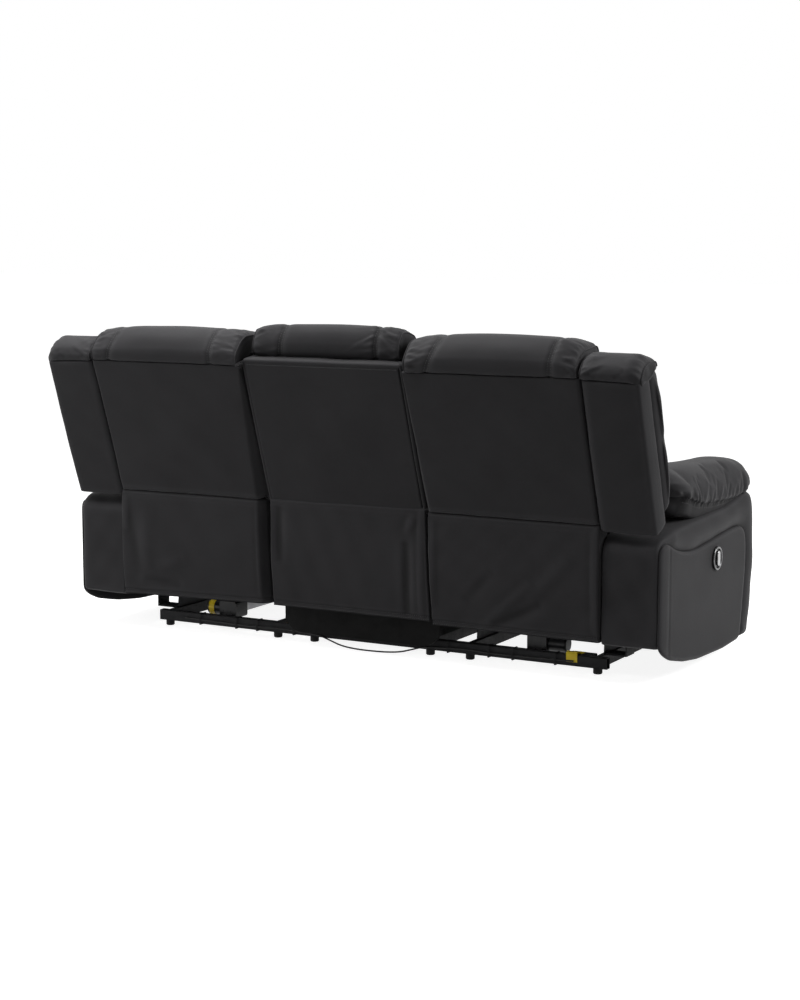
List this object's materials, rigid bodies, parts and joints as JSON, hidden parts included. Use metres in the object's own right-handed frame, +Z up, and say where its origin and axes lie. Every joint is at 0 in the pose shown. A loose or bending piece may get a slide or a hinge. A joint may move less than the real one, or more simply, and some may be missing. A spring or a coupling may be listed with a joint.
{
  "type": "three-seat power reclining sofa",
  "caption": "Upholstered three-seat sofa with reclining end seats, rising footrests, winged backs, padded arms and a fold-down centre back on a low steel base.",
  "frame": {"origin": "on the floor, under the middle of the sofa's outer box", "axes": "+X towards the left end for someone sitting, -Y towards the front, +Z up"},
  "size_m": [2.077, 0.9715, 1.0259],
  "materials": {
    "leatherette": "satin",
    "cushion": "satin",
    "frame_wood": "matte",
    "upholstered_wood": "satin",
    "black_steel": "satin",
    "zinc_steel": "satin",
    "black_plastic": "matte",
    "gloss_black": "gloss",
    "chrome": "polished",
    "cable_sheath": "matte"
  },
  "bodies": {
    "base": {"arm_brackets": "black_steel", "cable_ties": "black_plastic", "centre_back_flap": "leatherette", "centre_back_panel": "upholstered_wood", "centre_front_panel": "cushion", "centre_seat_cushion": "cushion", "centre_seat_frame": "frame_wood", "control_bezels": "chrome", "control_faces": "gloss_black", "cross_rails": "black_steel", "drive_motors": "black_plastic", "drive_tracks": "zinc_steel", "floor_feet": "black_plastic", "left_arm_frame": "upholstered_wood", "left_arm_outer_panel": "upholstered_wood", "left_arm_pad": "cushion", "mech_base_plates": "black_steel", "power_supply": "black_plastic", "right_arm_frame": "upholstered_wood", "right_arm_outer_panel": "upholstered_wood", "right_arm_pad": "cushion", "side_rails": "black_steel", "slack_cable": "cable_sheath", "table_hinges": "black_steel", "tied_cable": "cable_sheath"},
    "left_seat": {"left_seat_frame": "frame_wood", "left_seat_springs": "zinc_steel", "left_seat_cushion": "cushion", "left_seat_plates": "black_steel", "left_back_flap": "leatherette"},
    "left_back": {"left_back_frame": "frame_wood", "left_back_cover": "leatherette", "left_back_cushion": "cushion", "left_head_pillow": "cushion", "left_wing": "cushion"},
    "left_rear_link": {"left_rear_links": "zinc_steel"},
    "left_front_link": {"left_front_links": "zinc_steel"},
    "left_legrest": {"left_footrest": "upholstered_wood"},
    "left_nut": {"left_drive_nut": "black_plastic"},
    "left_rocker": {"left_control_rocker": "chrome"},
    "right_seat": {"right_seat_frame": "frame_wood", "right_seat_springs": "zinc_steel", "right_seat_cushion": "cushion", "right_seat_plates": "black_steel", "right_back_flap": "leatherette"},
    "right_back": {"right_back_frame": "frame_wood", "right_back_cover": "leatherette", "right_back_cushion": "cushion", "right_head_pillow": "cushion", "right_wing": "cushion"},
    "right_rear_link": {"right_rear_links": "zinc_steel"},
    "right_front_link": {"right_front_links": "zinc_steel"},
    "right_legrest": {"right_footrest": "upholstered_wood"},
    "right_nut": {"right_drive_nut": "black_plastic"},
    "right_rocker": {"right_control_rocker": "chrome"},
    "table": {"table_board": "upholstered_wood", "table_cushion": "cushion", "centre_head_pillow": "cushion"}
  },
  "joints": [
    {"name": "left_recline", "type": "hinge", "parent": "left_seat", "child": "left_back", "pos_m": [0.56, 0.291, 0.456], "axis": [-1, 0, 0], "range_deg": [0, 28], "deforming": ["left_back_flap"]},
    {"name": "left_seat_slide", "type": "slide", "parent": "base", "child": "left_seat", "axis": [0, -1, 0], "range_m": [0, 0.0405]},
    {"name": "left_link_lift", "type": "hinge", "parent": "left_seat", "child": "left_rear_link", "pos_m": [0.56, -0.255, 0.217], "axis": [-1, 0, 0], "range_deg": [0, 53.8]},
    {"name": "left_link_knee", "type": "hinge", "parent": "left_rear_link", "child": "left_front_link", "pos_m": [0.56, -0.3766, 0.0433], "axis": [1, 0, 0], "range_deg": [0, 107.4]},
    {"name": "left_legrest_turn", "type": "hinge", "parent": "left_front_link", "child": "left_legrest", "pos_m": [0.56, -0.379, 0.2553], "axis": [-1, 0, 0], "range_deg": [0, 138.8]},
    {"name": "left_nut_travel", "type": "slide", "parent": "base", "child": "left_nut", "axis": [0, -1, 0], "range_m": [0, 0.151]},
    {"name": "left_rocker_tilt", "type": "hinge", "parent": "base", "child": "left_rocker", "pos_m": [1.03575, -0.134, 0.326], "axis": [0, 1, 0], "range_deg": [-5, 5], "stiffness_Nm_per_rad": 0.3},
    {"name": "right_recline", "type": "hinge", "parent": "right_seat", "child": "right_back", "pos_m": [-0.56, 0.291, 0.456], "axis": [-1, 0, 0], "range_deg": [0, 28], "deforming": ["right_back_flap"]},
    {"name": "right_seat_slide", "type": "slide", "parent": "base", "child": "right_seat", "axis": [0, -1, 0], "range_m": [0, 0.0405]},
    {"name": "right_link_lift", "type": "hinge", "parent": "right_seat", "child": "right_rear_link", "pos_m": [-0.56, -0.255, 0.217], "axis": [-1, 0, 0], "range_deg": [0, 53.8]},
    {"name": "right_link_knee", "type": "hinge", "parent": "right_rear_link", "child": "right_front_link", "pos_m": [-0.56, -0.3766, 0.0433], "axis": [1, 0, 0], "range_deg": [0, 107.4]},
    {"name": "right_legrest_turn", "type": "hinge", "parent": "right_front_link", "child": "right_legrest", "pos_m": [-0.56, -0.379, 0.2553], "axis": [-1, 0, 0], "range_deg": [0, 138.8]},
    {"name": "right_nut_travel", "type": "slide", "parent": "base", "child": "right_nut", "axis": [0, -1, 0], "range_m": [0, 0.151]},
    {"name": "right_rocker_tilt", "type": "hinge", "parent": "base", "child": "right_rocker", "pos_m": [-1.03575, -0.134, 0.326], "axis": [0, 1, 0], "range_deg": [-5, 5], "stiffness_Nm_per_rad": 0.3},
    {"name": "table_fold", "type": "hinge", "parent": "base", "child": "table", "pos_m": [0, 0.1874, 0.5417], "axis": [1, 0, 0], "range_deg": [0, 108]}
  ],
  "couplings": [
    {"joint": "left_seat_slide", "follows": "left_recline", "m_per_rad": 0.081851},
    {"joint": "left_link_lift", "follows": "left_recline", "ratio": 1.9143},
    {"joint": "left_link_knee", "follows": "left_recline", "ratio": 3.8286},
    {"joint": "left_legrest_turn", "follows": "left_recline", "ratio": 4.95},
    {"joint": "left_nut_travel", "follows": "left_recline", "m_per_rad": 0.30694},
    {"joint": "right_seat_slide", "follows": "right_recline", "m_per_rad": 0.081851},
    {"joint": "right_link_lift", "follows": "right_recline", "ratio": 1.9143},
    {"joint": "right_link_knee", "follows": "right_recline", "ratio": 3.8286},
    {"joint": "right_legrest_turn", "follows": "right_recline", "ratio": 4.95},
    {"joint": "right_nut_travel", "follows": "right_recline", "m_per_rad": 0.30694}
  ]
}
